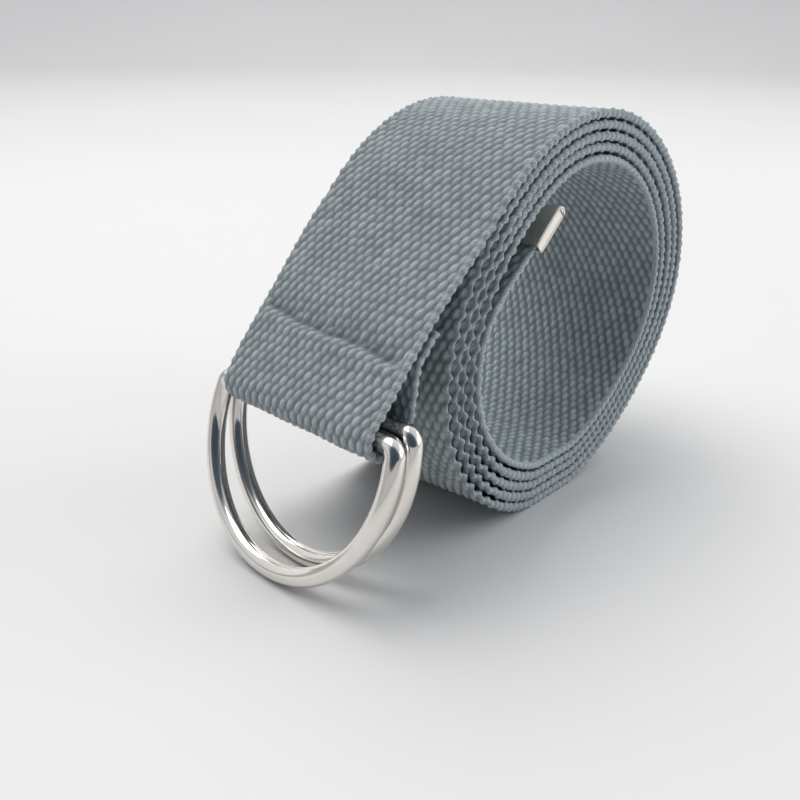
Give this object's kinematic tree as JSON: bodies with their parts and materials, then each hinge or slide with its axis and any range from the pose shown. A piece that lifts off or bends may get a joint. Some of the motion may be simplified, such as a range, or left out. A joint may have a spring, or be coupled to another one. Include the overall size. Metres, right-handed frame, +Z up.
{
  "type": "double ring belt",
  "caption": "Cotton webbing belt rolled up, its outer end folded round the bars of a pair of D-rings and its inner end closed by a metal tip.",
  "frame": {"origin": "the surface it stands on, under the middle of its bounding box", "axes": "+Z up; X in the plane of the roll, with the rings on the -X side; Y across the webbing, from the near selvedge to the far one"},
  "size_m": [0.1048, 0.0472, 0.0723],
  "materials": {
    "webbing": "grey-blue coarse cotton webbing",
    "ring_metal": "polished nickel-plated steel wire",
    "tip_metal": "worn nickel-plated sheet"
  },
  "bodies": {
    "strap": {"webbing_strap": "webbing", "belt_tip": "tip_metal"},
    "front_ring": {"d_ring_front": "ring_metal"},
    "rear_ring": {"d_ring_rear": "ring_metal"}
  },
  "joints": [
    {"name": "front_ring_hinge", "type": "hinge", "parent": "strap", "child": "front_ring", "pos_m": [-0.04166, -0.00012, 0.02789], "axis": [0.0837, 0.9965, 0], "range_deg": [0, 170]},
    {"name": "rear_ring_hinge", "type": "hinge", "parent": "strap", "child": "rear_ring", "pos_m": [-0.03785, -0.00012, 0.02871], "axis": [0.0837, 0.9965, 0], "range_deg": [-35, 0]}
  ]
}
